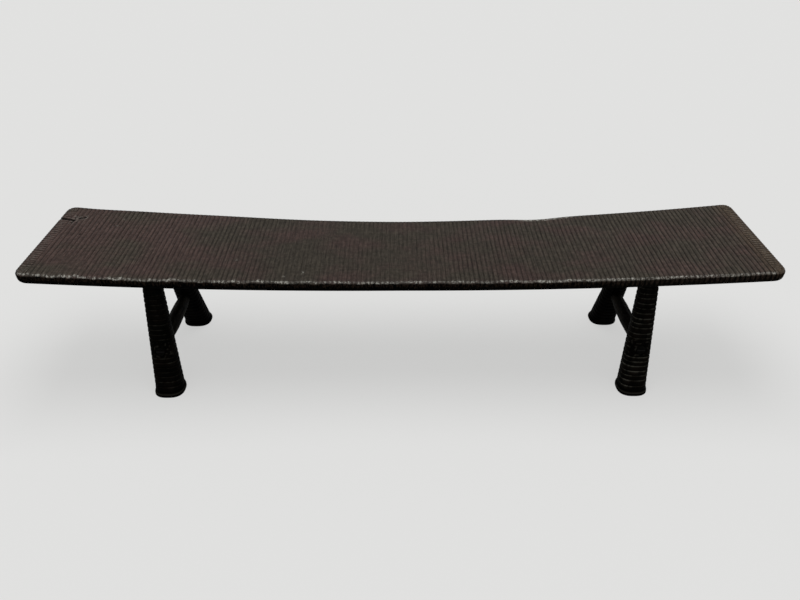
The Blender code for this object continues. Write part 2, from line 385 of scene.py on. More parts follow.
def wear(x, y):
    """Share of the ribs' sharpness that use has taken away."""
    away_x = (x + SEAT_LENGTH / 2 - WORN_PATCH[0]) / WORN_PATCH_SIZE[0]
    away_y = (y - WORN_PATCH[1]) / WORN_PATCH_SIZE[1]
    patch = WORN_PATCH_SHARE * hump(np.hypot(away_x, away_y))
    middle = WORN_MIDDLE_SHARE * middle_share(x)
    general = WORN_SHARE * (1 - ease(*SOUND_RIBS, x))
    patches = WORN_UNEVENNESS * plan_noise(WORN_NOISE, x, y)
    return np.clip(np.maximum(np.maximum(patch, middle), general) + patches, 0, WORN_MOST)


def worn_height(x, y, height):
    """Height of the ribs for the painted valley shade: use brings crests and valleys towards one level."""
    return blend(height, WORN_LEVEL, wear(x, y))


# Ribs of the seat

# Ribs across, with the shares of a rib's width at which it is sampled
RIB_PITCH = 0.0139
RIB_DEPTH = 0.0026
RIB_STEPS = (0.0, 0.10, 0.30, 0.50, 0.70, 0.90)
RIB_ROUNDNESS = 1.8
RIB_UNEVENNESS = 0.07
RIB_SEED = 3
RIB_SWELL = 0.22
RIB_SWELL_NOISE = (11, 1.7, 0.045)
RIB_FACETS = 0.12
RIB_FACET_NOISE = (12, 3.1, 0.018)
# Sideways wander of the ribs across, which dies out towards the bands at the ends
WANDER = 0.0016
WANDER_NOISE = (15, 0.21, 0.13)
FINE_WANDER = 0.0005
FINE_WANDER_NOISE = (16, 0.02, 0.05)
WANDER_MARGIN = 0.08
# Bands of fine ribs at the ends, and the seam where they meet the ribs across
END_RIB_PITCH = 0.0105
END_RIB_DEPTH = 0.0016
END_RIB_WANDER = 0.18
END_RIB_WANDER_NOISE = (13, 0.02, 0.02)
END_RIB_SWELL = 0.25
END_RIB_SWELL_NOISE = (14, 1.3, 0.02)
BAND_GROWTH = (-0.1, 0.45)
# Paleness on the crests of the fine ribs, and the crest heights over which it grows
BAND_PALE = 0.12
BAND_PALE_HEIGHT = (0.5, 1.0)
SEAM_WIDTH = 0.05 * RIB_PITCH
SEAM_DEPTH = 0.5 * RIB_DEPTH


def ridge(share, roundness):
    """Height of a rib or ring, from 0 in its valley to 1 on its crest, at a share of its width."""
    return 1 - np.abs(2 * share - 1) ** roundness


def carved_line(start, end, pitch, steps, roundness, unevenness, seed):
    """Places where a row of ridges is sampled, each with its height and the number of its ridge."""
    count = round((end - start) / pitch)
    edges = np.linspace(start, end, count + 1)
    edges[1:-1] += unevenness * pitch * np.random.default_rng(seed).uniform(-1, 1, count - 1)
    shares = np.array(steps)
    places = (edges[:-1, None] + shares * np.diff(edges)[:, None]).ravel()
    heights = np.tile(ridge(shares, roundness), count)
    numbers = np.repeat(np.arange(count), len(shares))
    return np.append(places, end), np.append(heights, 0.0), np.append(numbers, count)


def rib_cut(x, y, height, number):
    """Depth of the carving on the ribs across the seat."""
    swell = (1 + RIB_SWELL * cell_noise(RIB_SWELL_NOISE, number, y)) * (1 - WORN_DEPTH * wear(x, y))
    facets = RIB_FACETS * np.abs(cell_noise(RIB_FACET_NOISE, number, y))
    return RIB_DEPTH * (swell * (1 - height) + facets * height)


def end_cut(x, place):
    """Depth and height of the fine ribs that run out to the seat's ends."""
    cell = place / END_RIB_PITCH + END_RIB_WANDER * plan_noise(END_RIB_WANDER_NOISE, place, x)
    number = np.floor(cell)
    height = ridge(cell - number, RIB_ROUNDNESS)
    swell = 1 + END_RIB_SWELL * cell_noise(END_RIB_SWELL_NOISE, number, x)
    return END_RIB_DEPTH * swell * (1 - height), height


def wander(x, y):
    """Sideways wander of the hand cut ribs."""
    away = ease(0, WANDER_MARGIN, BAND_X - np.abs(x))
    fine = FINE_WANDER * plan_noise(FINE_WANDER_NOISE, x, y)
    return away * (WANDER * plan_noise(WANDER_NOISE, x, y) + fine)


# Points of the seat

# Rows of the ribs lie closer together beside the crack, within a share of the seat's half width
CLOSER_ROWS = 2.5
CLOSER_REACH = 0.11


def edge_rows():
    """Inset, depth and turn of each row of the edge, from the upper face round to the underside."""
    rows = []
    for turn in np.linspace(0, math.pi / 2, ARRIS_STEPS + 1):
        rows.append((SEAT_TOP_ROUND * (1 - math.sin(turn)), SEAT_TOP_ROUND * (1 - math.cos(turn)), turn))
    face = SEAT_THICKNESS - SEAT_TOP_ROUND - SEAT_BOTTOM_ROUND
    for step in range(1, FACE_STEPS):
        share = step / FACE_STEPS
        rows.append((0.0, SEAT_TOP_ROUND + face * share, math.pi / 2))
    for turn in np.linspace(math.pi / 2, math.pi, ROUND_STEPS + 1):
        inset = SEAT_BOTTOM_ROUND * (1 - math.sin(turn))
        rows.append((inset, SEAT_THICKNESS - SEAT_BOTTOM_ROUND * (1 + math.cos(turn)), turn))
    return rows


def field_shares():
    """Shares of the seat's width where the ribs are sampled, closer together beside the crack."""
    even = np.linspace(-1, 1, FIELD_ROWS + 1)
    crack_share = KNOT[1] / (float(seat_half_width(BAND_X)) - SEAT_TOP_ROUND)
    close = 1 + CLOSER_ROWS * hump((even - crack_share) / CLOSER_REACH)
    total = np.concatenate([[0], np.cumsum((close[1:] + close[:-1]) / 2)])
    return np.interp(np.linspace(0, total[-1], FIELD_ROWS + 1), total, even)


class Outline:
    """Points round the seat's outline: each is an anchor and a direction outward with its reach."""

    def __init__(self, columns, heights, numbers):
        self.rows = []
        self.add_side(-1, columns, heights, numbers)
        self.right = len(self.rows)
        self.add_end(1)
        self.rear = len(self.rows)
        self.add_side(1, columns[::-1], heights[::-1], numbers[::-1])
        self.left = len(self.rows)
        self.add_end(-1)
        table = np.array(self.rows, float)
        self.anchor, self.outward = table[:, 0:2], table[:, 2:4]
        self.reach, self.height, self.number, self.place, at_end = table[:, 4:].T
        self.at_end = at_end > 0

    def add_side(self, row, columns, heights, numbers):
        for x, half, height, number in zip(columns, seat_half_width(columns, row), heights, numbers):
            self.rows.append((x, 0, 0, row, half, height, number, 0, 0))

    def add_end(self, side):
        """Round one end, from the corner that the outline comes to first."""
        x = side * BAND_X
        corners = [row * (float(seat_half_width(x, row)) - END_BAND_WIDTH) for row in (-side, side)]
        for step in range(-CORNER_STEPS, BAND_ROWS + CORNER_STEPS + 1):
            y = np.interp(step / BAND_ROWS, (0, 1), corners)
            turn = math.pi / 2 * (min(step, 0) + max(step - BAND_ROWS, 0)) / CORNER_STEPS
            place = y + side * END_BAND_WIDTH * turn
            out_x, out_y = side * math.cos(turn), side * math.sin(turn)
            fullness = abs(out_x) ** CORNER_SQUARENESS + abs(out_y) ** CORNER_SQUARENESS
            reach = END_BAND_WIDTH / fullness ** (1 / CORNER_SQUARENESS)
            self.rows.append((x, y, out_x, out_y, reach, 0, 0, place, 1))


# Painted highlight along the seat's arris

# Where the highlight is painted: turns down from the upper face in radians, facings as shares, places along
# the seat
GLINT_TURN = 0.70
GLINT_REACH = 0.30
GLINT_FACING = (0.1, 0.7)
GLINT_SHIFT = (0.32, 0.12)
GLINT_SHIFT_NOISE = (20, 0.022)
FINE_SHIFT = 0.30
FINE_SHIFT_END = (-0.6, -0.2)
FINE_SHIFT_NOISE = (22, 0.008)
EVEN_ARRIS = (0.4, 0.7)
LEFT_GLINT = 1.35
LEFT_GLINT_END = (-0.7, -0.3)
LEFT_CORNER = (BAND_X, BAND_X + 0.012)
LEFT_CORNER_LOSS = 0.55
RIGHT_CORNER = (BAND_X - 0.006, BAND_X + 0.008)
MIDDLE_LOSS = 0.3
REAR_LINE = (0.485, 0.075)
REAR_GLINT = 1.6
REAR_GLINT_REACH = 0.20
REAR_FACING = (0.9, 1.0)
REAR_SIDE = 0.5
# Its beads: cells of their noise to the rib, or length on the fine ribs, and brightness
BEAD_CELLS = 2.3
END_BEAD_LENGTH = 0.01
BEAD_SEED = 18
BEAD_LEAST = 0.35
BEAD_SPAN = (-0.1, 0.6)
BRIGHT_BEAD = 0.6
BRIGHT_BEAD_SEED = 19
BRIGHT_BEAD_CELLS = 1.37
BRIGHT_BEAD_SPAN = (0.4, 0.8)
BEAD_LIMITS = (0.15, 1.6)
EVEN_BEAD = 0.8
EVEN_BEAD_SHARE = 0.5
JOINED_BEADS = 0.6
JOINED_SPAN = (0.0, 0.5)
JOINED_NOISE = (21, 0.06)


def arris_glint_share(line, x):
    """How strong the painted highlight on the arris is: the front, less in its middle, and a stretch of the
    rear.
    """
    facing = -line.outward[:, 1]
    front = ease(*GLINT_FACING, facing) * (1 - ease(*RIGHT_CORNER, x))
    front = front * (1 - LEFT_CORNER_LOSS * ease(*LEFT_CORNER, -x))
    front = front * (1 - MIDDLE_LOSS * middle_share(x))
    rear = REAR_GLINT * hump((x - REAR_LINE[0]) / REAR_LINE[1]) * ease(*REAR_FACING, -facing)
    return front + rear


def arris_glint(line, x, turn, height):
    """Painted highlight on the arris: broken beads on the ribs' ends, that run together here and there."""
    at_rear = line.outward[:, 1] > REAR_SIDE
    along = BEAD_CELLS * line.number + line.place / END_BEAD_LENGTH
    even = ease(*EVEN_ARRIS, x)
    bright = ease(*BRIGHT_BEAD_SPAN, noise(BRIGHT_BEAD_SEED, BRIGHT_BEAD_CELLS * along))
    bead = BEAD_LEAST + ease(*BEAD_SPAN, noise(BEAD_SEED, along)) + BRIGHT_BEAD * bright
    bead = blend(bead, EVEN_BEAD, EVEN_BEAD_SHARE * even) * blend(LEFT_GLINT, 1, ease(*LEFT_GLINT_END, x))
    joined = JOINED_BEADS * ease(*JOINED_SPAN, line_noise(JOINED_NOISE, x)) * (1 - even)
    peak = blend(height, 1, joined) * np.clip(bead, *BEAD_LIMITS)
    shift = blend(*GLINT_SHIFT, even) * line_noise(GLINT_SHIFT_NOISE, x)
    fine_shift = FINE_SHIFT * (1 - ease(*FINE_SHIFT_END, x)) * line_noise(FINE_SHIFT_NOISE, x)
    centre = np.where(at_rear, 0.0, GLINT_TURN + (shift + fine_shift))
    reach = np.where(at_rear, REAR_GLINT_REACH, GLINT_REACH)
    return hump((turn - centre) / reach) * peak * arris_glint_share(line, x)


# Edge of the seat

# Black of stain and painted shade on the edge: the turn at which it sets in, how much earlier or later, and
# where it is thin
BLACK_TURN = (0.88, 1.18)
BLACK_EARLY = 0.85
BLACK_EARLY_FACING = (0.5, 0.9)
BLACK_LATE = 0.10
BLACK_BITES = (0.22, 0.10)
BLACK_BITE_NOISE = (23, 0.009)
RIGHT_BLACK = (0.4, 0.8)
RIGHT_BLACK_LOSS = 0.10
END_BLACK = 0.5
END_BLACK_FACING = (0.4, 1.0)
# Carving: smoother at the rear; the painted valley shade evener on the face, and painted shade darker below
REAR_SMOOTHING = 0.7
REAR_SMOOTH_FACING = (0.5, 1.0)
REAR_SMOOTH_TURN = (0.0, 0.5)
FACE_LEVEL = 0.65
FACE_LEVEL_SHARE = 0.8
FACE_LEVEL_TURN = (0.8, 1.3)
FACE_LEVEL_END = (0.2, 0.7)
LOW_SHADE = 0.6
LOW_SHADE_DEPTH = (SEAT_TOP_ROUND, 0.8 * SEAT_THICKNESS)
# Materials by their numbers, and the rows of the edge between which the arris has its own
TOP_FACE, ARRIS_FACE, EDGE_FACE = 0, 1, 2
ARRIS_START = 1
ARRIS_END = 4


def edge_black(line, turn):
    """Share of black, of stain and painted shade, on the edge: higher at the rear and left, and thin at the
    right.
    """
    x = line.anchor[:, 0]
    out_x, out_y = line.outward.T
    even = ease(*EVEN_ARRIS, x)
    early = BLACK_EARLY * np.maximum(ease(*BLACK_EARLY_FACING, out_y), ease(*BLACK_EARLY_FACING, -out_x))
    bites = blend(*BLACK_BITES, even) * line_noise(BLACK_BITE_NOISE, x)
    black_share = ease(*BLACK_TURN, turn + early + bites - BLACK_LATE * even)
    black_share = black_share * (1 - RIGHT_BLACK_LOSS * ease(*RIGHT_BLACK, x))
    at_right_end = line.at_end & (x > 0)
    return black_share * np.where(at_right_end, blend(END_BLACK, 1, ease(*END_BLACK_FACING, -out_y)), 1.0)


def add_rim(surface, line):
    """The edge, from the upper face round to the underside. Gives each row of its points."""
    rim = []
    out_x, out_y = line.outward.T
    for inset, depth, turn in edge_rows():
        x, y = (line.anchor + line.outward * (line.reach - inset)[:, None]).T
        depth_end, height_end = end_cut(x, line.place)
        carving = np.where(line.at_end, depth_end, rib_cut(x, y, line.height, line.number))
        age, dark, pale = marks(x, y)
        at_rear = ease(*REAR_SMOOTH_FACING, out_y) * ease(*REAR_SMOOTH_TURN, turn)
        carving = (carving + age) * math.sqrt(max(math.cos(turn), 0)) * (1 - REAR_SMOOTHING * at_rear)
        carved_x = x + wander(x, y) - out_x * carving * math.sin(turn)
        carved_y = y - out_y * carving * math.sin(turn)
        carved_z = seat_top(x) - depth - carving * math.cos(turn)
        height = np.where(line.at_end, height_end, line.height)
        # Pale of chips, with painted highlights beside the cracks and along the arris
        pale = np.maximum(pale, arris_glint(line, x, turn, height))
        # Black on the edge, of stain and painted shade
        dark = np.maximum(dark, edge_black(line, turn))
        # Crest sets the painted shade of the rib valleys: evener on the face, and deeper as painted shade
        # towards the underside
        crest = np.where(line.at_end, height_end, worn_height(x, y, line.height))
        levelled = FACE_LEVEL_SHARE * ease(*FACE_LEVEL_TURN, turn) * (1 - ease(*FACE_LEVEL_END, x))
        crest = blend(crest, FACE_LEVEL, levelled) * (1 - LOW_SHADE * ease(*LOW_SHADE_DEPTH, depth))
        rim.append(surface.add(np.column_stack([carved_x, carved_y, carved_z]), crest, dark, pale))
    surface.tube(rim[: ARRIS_START + 1], TOP_FACE)
    surface.tube(rim[ARRIS_START : ARRIS_END + 1], ARRIS_FACE)
    surface.tube(rim[ARRIS_END:], EDGE_FACE)
    return rim


# Making of the seat

def add_field(surface, line, top, columns, heights, numbers):
    """The ribs across the seat, between the front and rear of the edge's first row."""
    field = np.zeros((len(columns), FIELD_ROWS + 1), int)
    field[:, 0] = top[: line.right]
    field[:, -1] = top[line.rear : line.left][::-1]
    front = SEAT_TOP_ROUND - seat_half_width(columns)
    rear = seat_half_width(columns, 1) - SEAT_TOP_ROUND
    for row, share in enumerate(field_shares()[1:-1], 1):
        y = front + (rear - front) * (share + 1) / 2
        age, dark, pale = marks(columns, y)
        z = seat_top(columns) - rib_cut(columns, y, heights, numbers) - age
        points = np.column_stack([columns + wander(columns, y), y, z])
        field[:, row] = surface.add(points, worn_height(columns, y, heights), dark, pale)
    surface.grid(field, TOP_FACE)
    return field


def add_bands(surface, line, top, field):
    """The bands of fine ribs at the two ends."""
    for side, part, inner in (
        (1, slice(line.right, line.rear), field[-1]),
        (-1, slice(line.left, None), field[0][::-1]),
    ):
        span = (line.reach[part] - SEAT_TOP_ROUND)[:, None]
        band = np.zeros((BAND_STEPS + 1, len(top[part])), int)
        band[-1] = top[part]
        for step in range(BAND_STEPS):
            x, y = (line.anchor[part] + line.outward[part] * span * step / BAND_STEPS).T
            carving, crest = end_cut(x, line.place[part])
            grow = ease(*BAND_GROWTH, step / BAND_STEPS)
            age, dark, _ = marks(x, y)
            z = seat_top(x) - carving * grow - SEAM_DEPTH * (1 - grow) - age
            pale = BAND_PALE * grow * ease(*BAND_PALE_HEIGHT, crest)
            band[step] = surface.add(np.column_stack([x, y, z]), crest, dark, pale)
        band[0, :CORNER_STEPS] = band[0, CORNER_STEPS]
        band[0, -CORNER_STEPS:] = band[0, -CORNER_STEPS - 1]
        surface.grid(band, TOP_FACE)
        seam = [*band[::-1, 0], *band[0, CORNER_STEPS + 1 : -CORNER_STEPS - 1], *band[:, -1]]
        surface.face(zip_lines(inner, seam, np.concatenate(surface.points)[:, 1] * side), TOP_FACE)


def zip_lines(first, second, order):
    """Triangles between two lines of points of unlike counts that run the same way, by each point's order."""
    faces = []
    i = j = 0
    while i < len(first) - 1 or j < len(second) - 1:
        ahead = order[first[i + 1]] if i < len(first) - 1 else math.inf
        beside = order[second[j + 1]] if j < len(second) - 1 else math.inf
        if beside <= ahead:
            faces.append([first[i], second[j], second[j + 1]])
            j += 1
        else:
            faces.append([first[i], second[j], first[i + 1]])
            i += 1
    return faces


def make_seat(materials):
    ribs = carved_line(-BAND_X, BAND_X, RIB_PITCH, RIB_STEPS, RIB_ROUNDNESS, RIB_UNEVENNESS, RIB_SEED)
    columns = ribs[0]
    columns[0] += SEAM_WIDTH
    columns[-1] -= SEAM_WIDTH
    line = Outline(*ribs)
    surface = Surface()
    rim = add_rim(surface, line)
    field = add_field(surface, line, rim[0], *ribs)
    add_bands(surface, line, rim[0], field)
    under = rim[-1]
    front, rear = under[: line.right], under[line.rear : line.left][::-1]
    surface.grid(np.column_stack([front, rear]), EDGE_FACE)
    surface.face([[front[-1], *under[line.right : line.rear], rear[-1]]], EDGE_FACE)
    surface.face([[rear[0], *under[line.left :], front[0]]], EDGE_FACE)
    return surface.make("carved_seat", materials)


# Shape of the legs

LEG_TOP_Z = float(seat_top(LEG_X)) - SEAT_THICKNESS - FIT_GAP
LEG_TURNS = np.linspace(0, 2 * math.pi, LEG_SIDES, endpoint=False)
FACE_ROUNDS = 8


def leg_axes(row):
    """Unit vectors along a leg and square to it towards the rear, and its length to the shoulder."""
    line = np.array([0, row * (LEG_TOP_Y - FOOT_Y), LEG_TOP_Z])
    length = float(np.linalg.norm(line))
    along = line / length
    return along, np.array([0, along[2], -along[1]]), length


LEG_LENGTH = leg_axes(1)[2]
WIDTH_TAPER = (LEG_TOP_WIDTH - FOOT_WIDTH) / 2 / LEG_LENGTH
DEPTH_TAPER = (LEG_TOP_DEPTH - FOOT_DEPTH) / 2 / LEG_LENGTH


def socket_end():
    """Distance from the floor, along the leg, of the blind end of its socket."""
    along = leg_axes(1)[0]
    tilt = LEG_TENON_RADIUS * (abs(along[1]) + abs(float(seat_slope(LEG_X))))
    return (float(seat_top(LEG_X)) - SOCKET_ROOF - tilt) / along[2]


def squircle(turns, squareness):
    """Directions on a circle, or on a rounded square where squareness is above 2."""
    x, y = np.cos(turns), np.sin(turns)
    return np.copysign(np.abs(x) ** (2 / squareness), x), np.copysign(np.abs(y) ** (2 / squareness), y)


def unit(vector):
    return vector / np.linalg.norm(vector)


def leg_face(x, z, face):
    """Distance from the bench's middle to a leg's outer face, or its inner face where face is -1."""
    along, deep, _ = leg_axes(1)
    distance = z / along[2]
    for _ in range(FACE_ROUNDS):
        share = np.abs(x) / (FOOT_WIDTH / 2 + WIDTH_TAPER * distance)
        half_depth = FOOT_DEPTH / 2 + DEPTH_TAPER * distance
        reach = half_depth * (1 - share**LEG_SQUARENESS) ** (1 / LEG_SQUARENESS)
        distance = (z - face * reach * deep[2]) / along[2]
    return FOOT_Y + along[1] * distance + face * reach * deep[1]


def tenon_circle(row):
    """Directions round a leg, square to it."""
    deep = leg_axes(row)[1]
    return np.cos(LEG_TURNS)[:, None] * ACROSS + np.sin(LEG_TURNS)[:, None] * deep


def add_tenon(surface, side, row, radius, *distances):
    """Rings of a leg's round tenon at distances along the leg."""
    along = leg_axes(row)[0]
    foot = np.array([side * LEG_X, row * FOOT_Y, 0])
    rings = []
    for distance in distances:
        places = np.broadcast_to(distance, LEG_SIDES)
        rings.append(surface.add(foot + places[:, None] * along + radius * tenon_circle(row), 0.0))
    return rings


# Sockets of the legs

def make_sockets():
    """Cutter for the four blind sockets under the seat."""
    surface = Surface()
    for side in SIDES.values():
        for row in ROWS.values():
            start = LEG_LENGTH - LEG_TENON_RADIUS
            rings = add_tenon(surface, side, row, LEG_TENON_RADIUS + FIT_GAP, start, socket_end())
            surface.tube(rings, EDGE_FACE)
            surface.face([list(rings[0]), list(rings[-1])], EDGE_FACE)
    return surface.make("sockets", [])


def blacken_sockets(seat):
    """Carries the underside's black, of stain and painted shade, to the points that the cut of the sockets
    made.
    """
    places = np.zeros((len(seat.data.vertices), 3), np.float32)
    seat.data.vertices.foreach_get("co", places.ravel())
    x, y, z = places.T
    layer = seat.data.attributes["dark"].data
    dark = np.zeros(len(layer), np.float32)
    layer.foreach_get("value", dark)
    inside = (np.abs(x) < BAND_X) & (np.abs(y) < SEAT_WAIST_WIDTH / 2 - SEAT_BOTTOM_ROUND)
    dark[inside & (z < seat_top(x) - SOCKET_ROOF / 2)] = 1.0
    layer.foreach_set("value", dark)


# Rings of the legs

# Rings: steps are the shares of a ring's width at which it is sampled, each with the share of painted
# highlight it carries
RING_PITCH = 0.0165
RING_DEPTH = 0.0024
RING_STEPS = (0.0, 0.05, 0.13, 0.28, 0.50, 0.72, 0.87, 0.95)
RING_GLINT_STEPS = (0.0, 0.0, 0.02, 0.05, 0.07, 0.12, 1.0, 0.3)
RING_ROUNDNESS = 4.5
RING_UNEVENNESS = 0.10
RING_SWELL = 0.25
RING_NICKS = 0.12
RING_TILT_LENGTH = 0.06
FOOT_BAND = 0.016
# Noise on the rings: seed past the leg's own, cells to the radian and cells to the ring
LEG_SEEDS = {"front_left": 45, "rear_left": 55, "front_right": 65, "rear_right": 75}
SWELL_NOISE = (2, 2.4, 1.9)
NICK_NOISE = (3, 4.0, 3.7)
GLINT_NOISE = (5, 1.5, 2.7)
BREAK_NOISE = (7, 6.0, 1.3)
# Painted highlight on the rings' upper edges: each leg's share, unevenness, breaks, and the loss high on the
# leg
RING_GLINT = {"front_left": 0.30, "front_right": 1.0, "rear_left": 0.5, "rear_right": 0.5}
RIM_GLINT_MOST = 0.35
REAR_LEG_GLINT = (0.0, 0.6)
GLINT_UNEVENNESS = 0.4
BROKEN_GLINT = (0.50, 1.35)
BREAK_SPAN = (-0.3, 0.4)
HIGH_GLINT = (0.6, 0.95)
HIGH_GLINT_LOSS = 0.5
# Plain patch where the stretcher comes through, its noise by cells to the radian and their length
PATCH_HALF = 0.030
PATCH_EDGE = 0.002
PATCH_FACING = (0.35, 0.75)
# Level of the painted valley shade on the plain patch
PATCH_CREST = 0.6
PATCH_TRIM = 0.0002
DENT_DEPTH = 0.0006
DENT_NOISE = (4, 5.0, 0.007)
SCARS = 0.25
SCAR_NOISE = (6, 8.0, 0.005)
SCAR_SPAN = (0.2, 0.8)


def ring_noise(kind, number, base):
    """Noise round one ring of a leg."""
    seed, round_cells, ring_cells = kind
    return noise(base + seed, LEG_TURNS * round_cells, number * ring_cells)


def ring_plane(place, length, along, underside):
    """Normal of a ring's plane: upright at the foot, then along the leg, and the seat's at the top."""
    normal = unit(blend(UP, along, float(ease(0, RING_TILT_LENGTH, place))))
    return unit(blend(normal, underside, float(ease(length - RING_TILT_LENGTH, length, place))))


def ring_glint(share, place, length, number, seed):
    """Painted highlight round one ring of a leg, for the share of the ring that carries it."""
    uneven = 1 - GLINT_UNEVENNESS + GLINT_UNEVENNESS * ring_noise(GLINT_NOISE, number, seed)
    breaks = ease(*BREAK_SPAN, ring_noise(BREAK_NOISE, number, seed))
    return share * uneven * blend(*BROKEN_GLINT, breaks) * (1 - HIGH_GLINT_LOSS * ease(*HIGH_GLINT, place / length))


def make_leg(name, side, row, material, glint_share, seed):
    """A leg carved in rings, with a share of painted highlight on its upper ring edges."""
    along, deep, length = leg_axes(row)
    underside = unit(np.array([-float(seat_slope(side * LEG_X)), 0, 1]))
    foot = np.array([side * LEG_X, row * FOOT_Y, 0])
    x, y = squircle(LEG_TURNS, LEG_SQUARENESS)
    wide, thick = x[:, None] * ACROSS, y[:, None] * deep
    lines = along + wide * WIDTH_TAPER + thick * DEPTH_TAPER
    # Rear legs carry the painted highlight towards their rear faces only
    glint_side = ease(*REAR_LEG_GLINT, y) if row > 0 else 1.0
    outer = ease(*PATCH_FACING, row * y)
    surface = Surface()
    rings = []

    def ring(point, normal, trim, crest, wear_and_glint=0.0):
        """One ring in a plane, trimmed inwards."""
        trim = np.broadcast_to(trim, LEG_SIDES)[:, None]
        starts = wide * (FOOT_WIDTH / 2 - trim) + thick * (FOOT_DEPTH / 2 - trim)
        distance = (normal @ point - starts @ normal) / (lines @ normal)
        rings.append(surface.add(foot + starts + lines * distance[:, None], crest, 0.0, wear_and_glint))

    for turn in np.linspace(0, math.pi / 2, ROUND_STEPS + 1):
        ring(UP * FOOT_ROUND * (1 - math.cos(turn)), UP, FOOT_ROUND * (1 - math.sin(turn)) - FOOT_RIM, 1)
    ring(UP * (FOOT_RIM_HEIGHT - FOOT_RIM), UP, -FOOT_RIM, 1)
    # Painted highlight on the foot rim's upper edge
    rim_glint = min(glint_share, RIM_GLINT_MOST) * glint_side
    ring(UP * FOOT_RIM_HEIGHT, UP, -FOOT_RIM_BEVEL * FOOT_RIM, 1, rim_glint)
    ring(UP * (FOOT_RIM_HEIGHT + FOOT_RIM), UP, 0.0, 1)
    carved = carved_line(FOOT_BAND, length, RING_PITCH, RING_STEPS, RING_ROUNDNESS, RING_UNEVENNESS, seed)
    patch_place = STRETCHER_HEIGHT / along[2]
    for index, (place, height, number) in enumerate(zip(*carved)):
        swell = 1 + RING_SWELL * ring_noise(SWELL_NOISE, number, seed)
        nicks = RING_NICKS * np.abs(ring_noise(NICK_NOISE, number, seed))
        dents = PATCH_TRIM + DENT_DEPTH * np.abs(cell_noise(DENT_NOISE, LEG_TURNS, place, seed))
        away = abs(place - patch_place)
        patch = outer * (1 - ease(PATCH_HALF - PATCH_EDGE, PATCH_HALF + PATCH_EDGE, away))
        trim = RING_DEPTH * (swell * (1 - height) + nicks) * (1 - patch) + dents * patch
        # Painted highlight on the rings' upper edges, and pale scars on the patch
        share = glint_share * RING_GLINT_STEPS[index % len(RING_GLINT_STEPS)] * glint_side
        scars = SCARS * ease(*SCAR_SPAN, cell_noise(SCAR_NOISE, LEG_TURNS, place, seed))
        wear_and_glint = blend(ring_glint(share, place, length, number, seed), scars, patch)
        normal = ring_plane(place, length, along, underside)
        ring(along * place, normal, trim, blend(height, PATCH_CREST, patch), wear_and_glint)
    start = length - LEG_TENON_RADIUS * (tenon_circle(row) @ underside) / (underside @ along)
    rings += add_tenon(surface, side, row, LEG_TENON_RADIUS, start, socket_end() - FIT_GAP)
    surface.tube(rings)
    surface.face([list(rings[0]), list(rings[-1])])
    return surface.make(name, [material])


# Stretchers

# Hewing in broad, narrow and short cuts: seed past the bar's own, cells to the radian and their length
STRETCHER_SEEDS = {"left": 39, "right": 41}
HEWN_DEPTH = 0.0016
BROAD_NOISE = (0, 1.6, 0.16)
NARROW_NOISE = (1, 4.5, 0.06)
SHORT_NOISE = (2, 6.5, 0.011)
FINE_SHARE = 0.5
SHORT_SPAN = (0.1, 0.5)
# Share of painted shade in the deepest hewn hollows
HEWN_SHADE = 0.6
TENON_BEVEL = 0.5


def make_bar(name, x, grow, ends, material, hewn, seed):
    """A bar along Y with a tenon to either leg's outer face, grown by a gap, its ends moved out."""
    turns = np.linspace(0, 2 * math.pi, STRETCHER_SIDES, endpoint=False)
    circle = np.column_stack([np.cos(turns), np.zeros(STRETCHER_SIDES), np.sin(turns)])
    centre = np.array([x, 0, STRETCHER_HEIGHT])
    tenon = STRETCHER_TENON_RADIUS + grow
    shoulder = leg_face(0, STRETCHER_HEIGHT - STRETCHER_END_RADIUS, -1) + STRETCHER_HOUSING + grow
    surface = Surface()
    rings = []

    def ring(y, width, crest=1.0):
        width = np.broadcast_to(width, STRETCHER_SIDES)
        along = np.broadcast_to(y, STRETCHER_SIDES)[:, None] * np.array([0, 1, 0])
        rings.append(surface.add(centre + circle * width[:, None] + along, crest))

    def tenon_rings(row):
        """From the end, which follows the leg's face, to the shoulder."""
        bevel = TENON_BEVEL * hewn
        tip = tenon - bevel
        end = leg_face(tip * circle[:, 0], STRETCHER_HEIGHT + tip * circle[:, 2], 1) + ends
        steps = [(end, tip), (end - bevel, tenon), (shoulder, tenon)]
        for y, width in steps[::-row]:
            ring(row * y, width, 0.0)

    tenon_rings(-1)
    for y in np.linspace(-shoulder, shoulder, STRETCHER_ROWS):
        facets = np.abs(cell_noise(BROAD_NOISE, turns, y, seed))
        facets = facets + FINE_SHARE * np.abs(cell_noise(NARROW_NOISE, turns, y, seed))
        facets = facets + FINE_SHARE * ease(*SHORT_SPAN, cell_noise(SHORT_NOISE, turns, y, seed))
        body = STRETCHER_RADIUS - (STRETCHER_RADIUS - STRETCHER_END_RADIUS) * (y / shoulder) ** 2 + grow
        ring(y, body - hewn * facets, 1 - HEWN_SHADE * facets)
    tenon_rings(1)
    surface.tube(rings)
    for row, end in ((-1, rings[0]), (1, rings[-1])):
        surface.fan(end, centre + np.array([0, row * (leg_face(0, STRETCHER_HEIGHT, 1) + ends), 0]), 0.0)
    return surface.make(name, [material], HEWN_SHARP_ANGLE)


# Nodes

def srgb(*levels):
    """Linear colour of sRGB levels from 0 to 255."""
    return [((v / 255 + 0.055) / 1.055) ** 2.4 if v > 10 else v / 255 / 12.92 for v in levels] + [1.0]


